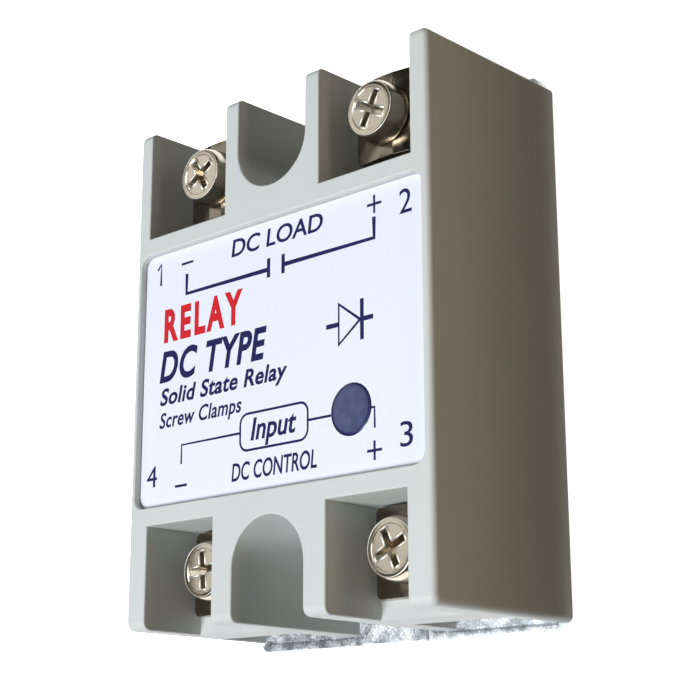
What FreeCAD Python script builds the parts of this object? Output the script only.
import FreeCAD, Part
import math
import os

# Solid state relay, hockey-puck style, 60 x 45 x 23 mm moulded housing on a zinc plated base plate.
# Frame: X is the width, Y the length, Z points up out of the labelled face. The base plate's back
# is Z = 0, and the origin is under the middle of the relay. The output terminals 1 and 2 are at
# the +Y end and the control terminals 3 and 4 at the -Y end. All sizes are in millimetres.

# Housing
LENGTH = 60.0
WIDTH = 45.0
HEIGHT = 23.0
END_DRAFT = 0.15            # how far each end face leans in from the middle to the top or bottom
END_EDGE_RADIUS = 1.0
LONG_EDGE_RADIUS = 0.8
SIDE_WALL = 1.8
ROOF_THICKNESS = 1.9
SKIRT_BOTTOM = 0.2          # the side walls stop this far above the base plate's back
LABEL_RECESS_DEPTH = 1.0
LABEL_RECESS = (-21.6, 21.6, -16.15, 14.15)
LABEL_CORNER_RADIUS = 1.4
MOUTH_EDGE_RADIUS = 0.2     # moulded rounding around the openings in the top and end faces
END_ZONE = 2.5              # the end faces and their rounded top edges lie this near each end
SHORT_EDGE = 3.0            # upright edges at least this long are part of an opening's outline
PIN_CLEARANCE = 0.1         # around the lens stem in the roof
PARTITION = 1.8             # wall between a terminal pocket and the inside

# Terminal pockets, one pair at each end: inner X, outer X and the inner end's distance from X = 0
OUTPUT_POCKET = (7.35, 20.3, 16.2)
CONTROL_POCKET = (8.4, 19.3, 18.25)
POCKET_FLOOR = 14.4
BLOCK_BOTTOM = 7.0          # underside of the solid block below each pocket
RECESS_TOP = 9.3            # the end wall is set back below this height
RECESS_DEPTH = 1.2
RECESS_INNER_X = 8.4
RECESS_OUTER_X = 21.3
LOWER_CAVITY_END = 27.2

# Mounting slots and holes
SLOT_HALF_WIDTH = 5.3
OUTPUT_SLOT_END = 18.0
CONTROL_SLOT_END = 18.9
HOLE_PITCH = 47.5
HOLE_DIAMETER = 4.5

# Base plate
PLATE_LENGTH = 62.4
PLATE_WIDTH = 43.4
PLATE_THICKNESS = 2.0
PLATE_CORNER_RADIUS = 0.8
PLATE_CLEARANCE = 0.1
PAD_HALF_WIDTH = 4.5
PAD_TOP = 3.5
GROOVE_START = 30.0
GROOVE_WIDTH = 0.35
GROOVE_DEPTH = 0.3
GROOVE_INNER_X = 5.2

# Terminals: M4 screws with square clamp plates over flat lugs
SCREW_X = 13.85
SCREW_Y = 23.3
THREAD_PITCH = 0.7
SHANK_DIAMETER = 3.9
FIT_DIAMETER = 4.04         # running fit around the shank in nut and clamp plate
SHANK_LENGTH = 8.0
HEAD_DIAMETER = 6.8
HEAD_HEIGHT = 2.6
HEAD_EDGE_RADIUS = 0.5
TIP_CHAMFER = 0.4
RECESS_SPAN = 4.6
RECESS_ARM = 1.1
DRIVE_DEPTH = 1.5
LUG_THICKNESS = 0.8
LUG_HALF_WIDTH = 4.6
LUG_OUTER_Y = 28.0
LUG_HOLE_DIAMETER = 4.5
TAIL_HALF_WIDTH = 2.2
CLAMP_GAP = 0.1             # clamp plate above the lug when the screw is tight
CLAMP_THICKNESS = 0.9
CLAMP_HALF_WIDTH = 4.5
CLAMP_HALF_LENGTH = 4.75
CLAMP_FLAT = 1.0            # half width of the flat strip under the screw head
CLAMP_DROP = 0.5            # how far the sloping sides fall
CLAMP_CORNER_RADIUS = 0.8
HEAD_GAP = 0.02
NUT_ACROSS_FLATS = 7.0
NUT_HEIGHT = 3.2
NUT_CLEARANCE = 0.05

# Each terminal: number, side of X = 0, end of Y = 0, turns that its screw is backed out at rest,
# and the angle in degrees that its cross recess is turned by
TERMINALS = (
    (1, -1, 1, 2.5, 30),
    (2, 1, 1, 3.75, -28),
    (3, 1, -1, 0.0, 25),
    (4, -1, -1, 0.0, 5),
)

# Circuit board and what it carries
BOARD_TOP = POCKET_FLOOR - 0.05
BOARD_THICKNESS = 1.6
BOARD_HALF_WIDTH = 20.2
BOARD_CLEARANCE = 0.3
TAIL_LENGTH_ON_BOARD = 4.0
LED_X = 11.3
LED_Y = -9.2
LED_DIAMETER = 3.0
LENS_DIAMETER = 5.5
LENS_STEM_DIAMETER = 4.4
LABEL_THICKNESS = 0.15
LABEL_MARGIN = 0.12
LENS_PROUD = 0.05
LEAD_DIAMETER = 0.6

# Power stage on the base plate
CERAMIC = (-10.0, 10.0, -11.0, 13.0)
CERAMIC_THICKNESS = 0.63
COPPER = (-8.5, 8.5, -9.5, 11.5)
COPPER_THICKNESS = 1.0
TRANSISTOR = (-7.8, 7.8, -9.0, 11.0)
TRANSISTOR_HEIGHT = 4.4
TRANSISTOR_LEAD_PITCH = 5.45
TRANSISTOR_LEAD_DIAMETER = 1.2
TRANSISTOR_LEAD_Y = TRANSISTOR[2] - 2.6
POTTING_TOP = 6.95

# Places of the small components on the board, as X and Y
OPTOCOUPLER_PLACE = (0.0, -4.0)
RESISTOR_PLACES = ((16.5, -5.0), (7.0, -6.0), (-16.5, 3.0))
REVERSE_DIODE_PLACE = (-16.5, -8.0)
SURGE_SUPPRESSOR_PLACE = (0.0, 7.5)
DRIVE_TRANSISTOR_PLACE = (5.0, -13.0)
CAPACITOR_PLACE = (9.0, 5.0)
PIN_PITCH = 2.54
PIN_HALF_WIDTH = 0.25

# Heights that follow from the ones above
RECESS_FLOOR = HEIGHT - LABEL_RECESS_DEPTH
ROOF_UNDERSIDE = RECESS_FLOOR - ROOF_THICKNESS
LUG_TOP = POCKET_FLOOR + LUG_THICKNESS
CLAMP_TOP = LUG_TOP + CLAMP_GAP + CLAMP_THICKNESS + CLAMP_DROP
HEAD_UNDERSIDE = CLAMP_TOP + HEAD_GAP
NUT_TOP = POCKET_FLOOR - NUT_CLEARANCE
NUT_BOTTOM = NUT_TOP - NUT_HEIGHT
BORE_BOTTOM = HEAD_UNDERSIDE - SHANK_LENGTH - 0.4
CAVITY_HALF_WIDTH = WIDTH / 2 - SIDE_WALL
CAVITY_Y_MAX = OUTPUT_POCKET[2] - PARTITION
CAVITY_Y_MIN = -(CONTROL_POCKET[2] - PARTITION)
COPPER_TOP = PLATE_THICKNESS + CERAMIC_THICKNESS + COPPER_THICKNESS


def vector(x, y, z):
    return FreeCAD.Vector(x, y, z)


def box(x_range, y_range, z_range):
    """Box between two X, two Y and two Z values, in either order."""
    low = vector(min(x_range), min(y_range), min(z_range))
    size = [max(r) - min(r) for r in (x_range, y_range, z_range)]
    return Part.makeBox(size[0], size[1], size[2], low)


def cylinder(diameter, x, y, z_low, z_high):
    """Upright round bar from z_low to z_high."""
    return Part.makeCylinder(diameter / 2, z_high - z_low, vector(x, y, z_low))


def prism(points, direction):
    """Solid swept from the closed polygon through points along direction."""
    outline = Part.makePolygon(points + [points[0]])
    return Part.Face(outline).extrude(direction)


def edges_along(shape, axis, test):
    """Straight edges parallel to axis whose middle point passes test."""
    found = []
    for edge in shape.Edges:
        if not isinstance(edge.Curve, Part.Line):
            continue
        middle = edge.CenterOfMass
        if edge.tangentAt(edge.FirstParameter).cross(axis).Length < 1e-6 and test(middle):
            found.append(edge)
    return found


def round_slab(x_range, y_range, z_range, radius):
    """Box with its four upright corners rounded."""
    slab = box(x_range, y_range, z_range)
    return slab.makeFillet(radius, edges_along(slab, vector(0, 0, 1), lambda middle: True))


def hex_prism(across_flats, x, y, z_low, z_high):
    """Upright hexagonal bar with two flats facing the ends of the relay."""
    radius = across_flats / math.sqrt(3)
    angles = [math.radians(60 * corner) for corner in range(6)]
    points = [vector(x + radius * math.cos(a), y + radius * math.sin(a), z_low) for a in angles]
    return prism(points, vector(0, 0, z_high - z_low))


def bent_wire(points, diameter):
    """Round lead through points, with a ball at each bend."""
    pieces = []
    for start, end in zip(points, points[1:]):
        run = end.sub(start)
        pieces.append(Part.makeCylinder(diameter / 2, run.Length, start, run))
    for bend in points[1:-1]:
        pieces.append(Part.makeSphere(diameter / 2, bend))
    return pieces[0].fuse(pieces[1:]) if len(pieces) > 1 else pieces[0]


def slot_outline(end, side):
    """Open-ended mounting slot with a half-round inner end, as a cutting solid."""
    centre = end + SLOT_HALF_WIDTH
    straight = box((-SLOT_HALF_WIDTH, SLOT_HALF_WIDTH), (side * centre, side * LENGTH), (-1, HEIGHT + 1))
    return straight.fuse(cylinder(2 * SLOT_HALF_WIDTH, 0, side * centre, -1, HEIGHT + 1))


def pocket_of(side):
    """Pocket sizes at the output end (side 1) or the control end (side -1)."""
    return OUTPUT_POCKET if side > 0 else CONTROL_POCKET


def housing_block():
    """Outer form of the housing: drafted ends, rounded top edges and upright corners."""
    half = LENGTH / 2
    profile = [
        vector(-WIDTH / 2, -half - END_DRAFT, SKIRT_BOTTOM),
        vector(-WIDTH / 2, half + END_DRAFT, SKIRT_BOTTOM),
        vector(-WIDTH / 2, half - END_DRAFT, HEIGHT),
        vector(-WIDTH / 2, -half + END_DRAFT, HEIGHT),
    ]
    block = prism(profile, vector(WIDTH, 0, 0))
    ends = edges_along(block, vector(1, 0, 0), lambda middle: middle.z > HEIGHT - 1)
    block = block.makeFillet(END_EDGE_RADIUS, ends)
    longs = edges_along(block, vector(0, 1, 0), lambda middle: middle.z > HEIGHT - 1)
    return block.makeFillet(LONG_EDGE_RADIUS, longs)


def terminal_cuts(x_side, y_side):
    """Everything cut from the housing around one terminal."""
    inner, outer, inner_end = pocket_of(y_side)
    x = x_side * SCREW_X
    y = y_side * SCREW_Y
    pocket = box(
        (x_side * inner, x_side * outer),
        (y_side * inner_end, y_side * LENGTH),
        (POCKET_FLOOR, HEIGHT + 1),
    )
    tail = box(
        (x - TAIL_HALF_WIDTH - BOARD_CLEARANCE, x + TAIL_HALF_WIDTH + BOARD_CLEARANCE),
        (y_side * (inner_end - PARTITION - 1), y_side * (inner_end + 1)),
        (POCKET_FLOOR, LUG_TOP + BOARD_CLEARANCE),
    )
    across_flats = NUT_ACROSS_FLATS + 2 * NUT_CLEARANCE
    nut = hex_prism(across_flats, x, y, NUT_BOTTOM - NUT_CLEARANCE, POCKET_FLOOR + 0.5)
    bore = cylinder(SHANK_DIAMETER + 0.7, x, y, BORE_BOTTOM, NUT_TOP)
    lower = box(
        (x_side * inner, x_side * CAVITY_HALF_WIDTH),
        (y_side * (inner_end - PARTITION - 1), y_side * LOWER_CAVITY_END),
        (PLATE_THICKNESS - 1, BLOCK_BOTTOM),
    )
    set_back = box(
        (x_side * RECESS_INNER_X, x_side * RECESS_OUTER_X),
        (y_side * (LENGTH / 2 - RECESS_DEPTH), y_side * LENGTH),
        (PLATE_THICKNESS - 1, RECESS_TOP),
    )
    return [pocket, tail, nut, bore, lower, set_back]


def mouth_edges(shape):
    """Edges around the openings in the top face and in the two end faces, without the outer edges."""
    found = []
    for edge in shape.Edges:
        bounds = edge.BoundBox
        middle = edge.CenterOfMass
        level = bounds.ZMin > HEIGHT - 0.01 and bounds.ZMax < HEIGHT + 0.01
        long_side = abs(abs(middle.x) - WIDTH / 2 + LONG_EDGE_RADIUS) < 0.02
        end_side = abs(middle.y) > LENGTH / 2 - END_DRAFT - END_EDGE_RADIUS - 0.1 and bounds.YLength < 0.01
        top = level and not long_side and not end_side
        from_side = WIDTH / 2 - abs(middle.x)
        near_end = min(abs(bounds.YMin), abs(bounds.YMax)) > LENGTH / 2 - END_ZONE
        at_end = near_end and bounds.XLength < 0.01
        upright = at_end and bounds.ZLength > SHORT_EDGE and from_side > 0.01
        turned = bounds.ZMin > HEIGHT - END_ZONE and bounds.YLength > END_EDGE_RADIUS / 2
        bend = at_end and turned and from_side > LONG_EDGE_RADIUS + 0.1
        if top or upright or bend:
            found.append(edge)
    return found


def housing():
    """One-piece moulding: roof, side walls, four terminal pockets and two mounting slots."""
    recess = round_slab(LABEL_RECESS[:2], LABEL_RECESS[2:], (RECESS_FLOOR, HEIGHT + 1), LABEL_CORNER_RADIUS)
    cavity = box(
        (-CAVITY_HALF_WIDTH, CAVITY_HALF_WIDTH),
        (CAVITY_Y_MIN, CAVITY_Y_MAX),
        (PLATE_THICKNESS - 1, ROOF_UNDERSIDE),
    )
    plate_seat = box(
        (-PLATE_WIDTH / 2 - PLATE_CLEARANCE, PLATE_WIDTH / 2 + PLATE_CLEARANCE),
        (-PLATE_LENGTH, PLATE_LENGTH),
        (-1, PLATE_THICKNESS),
    )
    lens_hole = cylinder(LENS_STEM_DIAMETER + 2 * PIN_CLEARANCE, LED_X, LED_Y, ROOF_UNDERSIDE - 1, HEIGHT)
    cuts = [recess, cavity, plate_seat, lens_hole]
    cuts.append(slot_outline(OUTPUT_SLOT_END, 1))
    cuts.append(slot_outline(CONTROL_SLOT_END, -1))
    for _, x_side, y_side, _, _ in TERMINALS:
        cuts.extend(terminal_cuts(x_side, y_side))
    shell = housing_block().cut(cuts)
    return shell.makeFillet(MOUTH_EDGE_RADIUS, mouth_edges(shell))


def base_plate():
    """Zinc plated plate with a raised pad and a screw hole in each mounting slot."""
    half_length = PLATE_LENGTH / 2
    half_width = PLATE_WIDTH / 2
    plate = round_slab(
        (-half_width, half_width), (-half_length, half_length), (0, PLATE_THICKNESS), PLATE_CORNER_RADIUS
    )
    cuts = []
    for side in (-1, 1):
        hole_y = side * HOLE_PITCH / 2
        pad = box((-PAD_HALF_WIDTH, PAD_HALF_WIDTH), (hole_y, side * half_length), (0, PAD_TOP))
        pad = pad.fuse(cylinder(2 * PAD_HALF_WIDTH, 0, hole_y, 0, PAD_TOP))
        plate = plate.fuse(pad)
        cuts.append(cylinder(HOLE_DIAMETER, 0, hole_y, -1, PAD_TOP + 1))
        for x_side in (-1, 1):
            cuts.append(box(
                (x_side * GROOVE_INNER_X, x_side * WIDTH),
                (side * GROOVE_START, side * (GROOVE_START + GROOVE_WIDTH)),
                (PLATE_THICKNESS - GROOVE_DEPTH, PLATE_THICKNESS + 1),
            ))
    return plate.cut(cuts).removeSplitter()


def label():
    """Printed polyester label lying in the roof's recess, with a hole for the lens."""
    x_range = (LABEL_RECESS[0] + LABEL_MARGIN, LABEL_RECESS[1] - LABEL_MARGIN)
    y_range = (LABEL_RECESS[2] + LABEL_MARGIN, LABEL_RECESS[3] - LABEL_MARGIN)
    z_range = (RECESS_FLOOR, RECESS_FLOOR + LABEL_THICKNESS)
    sheet = round_slab(x_range, y_range, z_range, LABEL_CORNER_RADIUS)
    return sheet.cut(cylinder(LENS_DIAMETER + 0.1, LED_X, LED_Y, RECESS_FLOOR - 1, HEIGHT))


def led_window():
    """Tinted lens: a thin disc on the roof with a stem down through it to the lamp."""
    disc = cylinder(LENS_DIAMETER, LED_X, LED_Y, RECESS_FLOOR, RECESS_FLOOR + LABEL_THICKNESS + LENS_PROUD)
    return disc.fuse(cylinder(LENS_STEM_DIAMETER, LED_X, LED_Y, ROOF_UNDERSIDE, RECESS_FLOOR))


def terminal_lug(x_side, y_side):
    """Flat lug under the clamp plate, with a tail through the partition onto the circuit board."""
    inner_end = pocket_of(y_side)[2]
    x = x_side * SCREW_X
    plate = box(
        (x - LUG_HALF_WIDTH, x + LUG_HALF_WIDTH),
        (y_side * (inner_end + BOARD_CLEARANCE), y_side * LUG_OUTER_Y),
        (POCKET_FLOOR, LUG_TOP),
    )
    tail = box(
        (x - TAIL_HALF_WIDTH, x + TAIL_HALF_WIDTH),
        (y_side * (inner_end - PARTITION - TAIL_LENGTH_ON_BOARD), y_side * (inner_end + 1)),
        (POCKET_FLOOR, LUG_TOP),
    )
    hole = cylinder(LUG_HOLE_DIAMETER, x, y_side * SCREW_Y, POCKET_FLOOR - 1, LUG_TOP + 1)
    return plate.fuse(tail).cut(hole).removeSplitter()


def terminal_nut(x_side, y_side):
    """M4 nut held in a hexagonal pocket below the lug."""
    x = x_side * SCREW_X
    y = y_side * SCREW_Y
    nut = hex_prism(NUT_ACROSS_FLATS, x, y, NUT_BOTTOM, NUT_TOP)
    return nut.cut(cylinder(FIT_DIAMETER, x, y, NUT_BOTTOM - 1, NUT_TOP + 1))


def clamp_plate(x_side, y_side, lift):
    """Square pressed plate, flat under the screw head and sloping down to both sides."""
    x = x_side * SCREW_X
    y = y_side * SCREW_Y
    top = CLAMP_TOP + lift
    y_start = y - CLAMP_HALF_LENGTH
    section = []
    for level in (0, -CLAMP_THICKNESS):
        row = [
            vector(x - CLAMP_HALF_WIDTH, y_start, top + level - CLAMP_DROP),
            vector(x - CLAMP_FLAT, y_start, top + level),
            vector(x + CLAMP_FLAT, y_start, top + level),
            vector(x + CLAMP_HALF_WIDTH, y_start, top + level - CLAMP_DROP),
        ]
        section.extend(row if level == 0 else reversed(row))
    plate = prism(section, vector(0, 2 * CLAMP_HALF_LENGTH, 0))
    corners = edges_along(plate, vector(0, 0, 1), lambda middle: True)
    plate = plate.makeFillet(CLAMP_CORNER_RADIUS, corners)
    return plate.cut(cylinder(FIT_DIAMETER, x, y, top - 3, top + 1))


def terminal_screw(x_side, y_side, lift, angle):
    """M4 screw: flat head with a rounded rim and a cross recess, and a plain stand-in shank."""
    x = x_side * SCREW_X
    y = y_side * SCREW_Y
    under = HEAD_UNDERSIDE + lift
    top = under + HEAD_HEIGHT
    head = cylinder(HEAD_DIAMETER, x, y, under, top)
    rim = [edge for edge in head.Edges if edge.BoundBox.ZMin > top - 0.01]
    head = head.makeFillet(HEAD_EDGE_RADIUS, rim)
    shank = cylinder(SHANK_DIAMETER, x, y, under - SHANK_LENGTH, under + 0.5)
    tip = [edge for edge in shank.Edges if edge.BoundBox.ZMax < under - SHANK_LENGTH + 0.01]
    shank = shank.makeChamfer(TIP_CHAMFER, tip)
    half_span = RECESS_SPAN / 2
    half_arm = RECESS_ARM / 2
    drive_depth = (top - DRIVE_DEPTH, top + 1)
    cross = box((x - half_span, x + half_span), (y - half_arm, y + half_arm), drive_depth)
    cross = cross.fuse(box((x - half_arm, x + half_arm), (y - half_span, y + half_span), drive_depth))
    cross.rotate(vector(x, y, 0), vector(0, 0, 1), angle)
    return head.fuse(shank).cut(cross)


def circuit_board():
    """Glass-epoxy board across the inside, with holes for the leads of the power transistor."""
    board = box(
        (-BOARD_HALF_WIDTH, BOARD_HALF_WIDTH),
        (CAVITY_Y_MIN + BOARD_CLEARANCE, CAVITY_Y_MAX - BOARD_CLEARANCE),
        (BOARD_TOP - BOARD_THICKNESS, BOARD_TOP),
    )
    hole_diameter = TRANSISTOR_LEAD_DIAMETER + 0.2
    holes = [
        cylinder(hole_diameter, x, TRANSISTOR_LEAD_Y, BOARD_TOP - BOARD_THICKNESS - 1, BOARD_TOP + 1)
        for x in transistor_lead_positions()
    ]
    return board.cut(holes)


def transistor_lead_positions():
    """X of the three leads of the power transistor."""
    return [-TRANSISTOR_LEAD_PITCH, 0.0, TRANSISTOR_LEAD_PITCH]


def power_transistor():
    """Large moulded output transistor lying on the copper, its three leads bent up to the board."""
    top = COPPER_TOP + TRANSISTOR_HEIGHT
    body = box(TRANSISTOR[:2], TRANSISTOR[2:], (COPPER_TOP, top))
    lead_z = COPPER_TOP + TRANSISTOR_HEIGHT / 2
    pieces = []
    for x in transistor_lead_positions():
        route = [
            vector(x, TRANSISTOR[2] + 0.5, lead_z),
            vector(x, TRANSISTOR_LEAD_Y, lead_z),
            vector(x, TRANSISTOR_LEAD_Y, BOARD_TOP + 0.8),
        ]
        pieces.append(bent_wire(route, TRANSISTOR_LEAD_DIAMETER))
    return body.fuse(pieces)


def square_pin(x, y, height):
    """Straight pin standing on the circuit board."""
    half = PIN_HALF_WIDTH
    return box((x - half, x + half), (y - half, y + half), (BOARD_TOP, BOARD_TOP + height))


def status_led():
    """3 mm lamp standing under the lens."""
    dome_z = ROOF_UNDERSIDE - 0.3 - LED_DIAMETER / 2
    body = cylinder(LED_DIAMETER, LED_X, LED_Y, BOARD_TOP + 1, dome_z)
    flange = cylinder(LED_DIAMETER + 0.8, LED_X, LED_Y, BOARD_TOP + 0.4, BOARD_TOP + 1.2)
    dome = Part.makeSphere(LED_DIAMETER / 2, vector(LED_X, LED_Y, dome_z))
    legs = [square_pin(LED_X + dx, LED_Y, 0.6) for dx in (-PIN_PITCH / 2, PIN_PITCH / 2)]
    return body.fuse([flange, dome] + legs)


def optocoupler():
    """Six-pin dual in-line package that keeps the control side apart from the output side."""
    x, y = OPTOCOUPLER_PLACE
    body = box((x - 4.3, x + 4.3), (y - 3.2, y + 3.2), (BOARD_TOP + 0.6, BOARD_TOP + 4.1))
    notch = cylinder(1.6, x - 4.3, y, BOARD_TOP + 3.8, BOARD_TOP + 5)
    legs = []
    for dx in (-PIN_PITCH, 0, PIN_PITCH):
        for side in (-1, 1):
            legs.append(box(
                (x + dx - 0.6, x + dx + 0.6),
                (y + side * 3.0, y + side * 3.81),
                (BOARD_TOP + 1.7, BOARD_TOP + 2.0),
            ))
            legs.append(box(
                (x + dx - PIN_HALF_WIDTH, x + dx + PIN_HALF_WIDTH),
                (y + side * 3.51, y + side * 3.81),
                (BOARD_TOP, BOARD_TOP + 2.0),
            ))
    return body.cut(notch).fuse(legs)


def axial_part(place, diameter, length, z_axis):
    """Leaded round body along Y with its wires bent down to the board."""
    x, y = place
    reach = length / 2 + 1.8
    body = Part.makeCylinder(diameter / 2, length, vector(x, y - length / 2, z_axis), vector(0, 1, 0))
    route = [
        vector(x, y - reach, BOARD_TOP),
        vector(x, y - reach, z_axis),
        vector(x, y + reach, z_axis),
        vector(x, y + reach, BOARD_TOP),
    ]
    return body.fuse(bent_wire(route, LEAD_DIAMETER))


def resistors():
    """Three quarter-watt resistors: two in the control circuit and one gate resistor."""
    bodies = [axial_part(place, 2.3, 6.3, BOARD_TOP + 1.5) for place in RESISTOR_PLACES]
    return Part.makeCompound(bodies)


def reverse_diode():
    """Diode that protects the control input against reversed wires."""
    return axial_part(REVERSE_DIODE_PLACE, 2.7, 5.0, BOARD_TOP + 1.6)


def surge_suppressor():
    """Large axial suppressor diode across the output terminals."""
    return axial_part(SURGE_SUPPRESSOR_PLACE, 4.8, 7.5, BOARD_TOP + 2.6)


def drive_transistor():
    """TO-92 package that steadies the lamp and optocoupler current."""
    x, y = DRIVE_TRANSISTOR_PLACE
    body = cylinder(4.6, x, y, BOARD_TOP + 1.0, BOARD_TOP + 4.8)
    body = body.cut(box((x - 4, x + 4), (y + 1.3, y + 4), (BOARD_TOP, BOARD_TOP + 6)))
    legs = [square_pin(x + dx, y, 1.2) for dx in (-PIN_PITCH / 2, 0, PIN_PITCH / 2)]
    return body.fuse(legs)


def ceramic_capacitor():
    """Disc capacitor that smooths the gate voltage."""
    x, y = CAPACITOR_PLACE
    disc = Part.makeCylinder(2.2, 1.6, vector(x - 0.8, y, BOARD_TOP + 2.9), vector(1, 0, 0))
    legs = [square_pin(x, y + dy, 2.4) for dy in (-PIN_PITCH / 2, PIN_PITCH / 2)]
    return disc.fuse(legs)


def ceramic_insulator():
    """Alumina wafer that insulates the live copper from the base plate."""
    return box(CERAMIC[:2], CERAMIC[2:], (PLATE_THICKNESS, PLATE_THICKNESS + CERAMIC_THICKNESS))


def copper_spreader():
    """Copper pad that spreads the transistor's heat over the ceramic."""
    return box(COPPER[:2], COPPER[2:], (PLATE_THICKNESS + CERAMIC_THICKNESS, COPPER_TOP))


def potting_compound(buried):
    """Epoxy poured over the base plate, up to the underside of the terminal blocks."""
    levels = (PLATE_THICKNESS, POTTING_TOP)
    fill = box((-CAVITY_HALF_WIDTH, CAVITY_HALF_WIDTH), (CAVITY_Y_MIN, CAVITY_Y_MAX), levels)
    for _, x_side, y_side, _, _ in TERMINALS:
        inner, _, inner_end = pocket_of(y_side)
        fill = fill.fuse(box(
            (x_side * inner, x_side * CAVITY_HALF_WIDTH),
            (y_side * (inner_end - PARTITION - 1), y_side * LOWER_CAVITY_END),
            levels,
        ))
    return fill.cut(buried).removeSplitter()


def save(name, shape):
    """Write one sub-part and say what it is."""
    shape.exportStep("parts/" + name + ".step")
    state = "valid" if shape.isValid() else "NOT VALID"
    print(name, state, len(shape.Solids), "solids", round(shape.Volume, 1), "mm3")


def main():
    os.makedirs("parts", exist_ok=True)
    save("housing", housing())
    save("base_plate", base_plate())
    save("label", label())
    save("led_window", led_window())
    for number, x_side, y_side, turns_out, angle in TERMINALS:
        lift = turns_out * THREAD_PITCH
        save("terminal_lug_%d" % number, terminal_lug(x_side, y_side))
        save("clamp_plate_%d" % number, clamp_plate(x_side, y_side, lift))
        save("terminal_screw_%d" % number, terminal_screw(x_side, y_side, lift, angle))
    nuts = [terminal_nut(x_side, y_side) for _, x_side, y_side, _, _ in TERMINALS]
    save("terminal_nuts", Part.makeCompound(nuts))
    save("circuit_board", circuit_board())
    save("status_led", status_led())
    save("optocoupler", optocoupler())
    save("resistors", resistors())
    save("reverse_diode", reverse_diode())
    save("surge_suppressor", surge_suppressor())
    save("drive_transistor", drive_transistor())
    save("ceramic_capacitor", ceramic_capacitor())
    transistor = power_transistor()
    ceramic = ceramic_insulator()
    copper = copper_spreader()
    save("power_transistor", transistor)
    save("ceramic_insulator", ceramic)
    save("copper_spreader", copper)
    save("potting_compound", potting_compound([transistor, ceramic, copper]))


main()
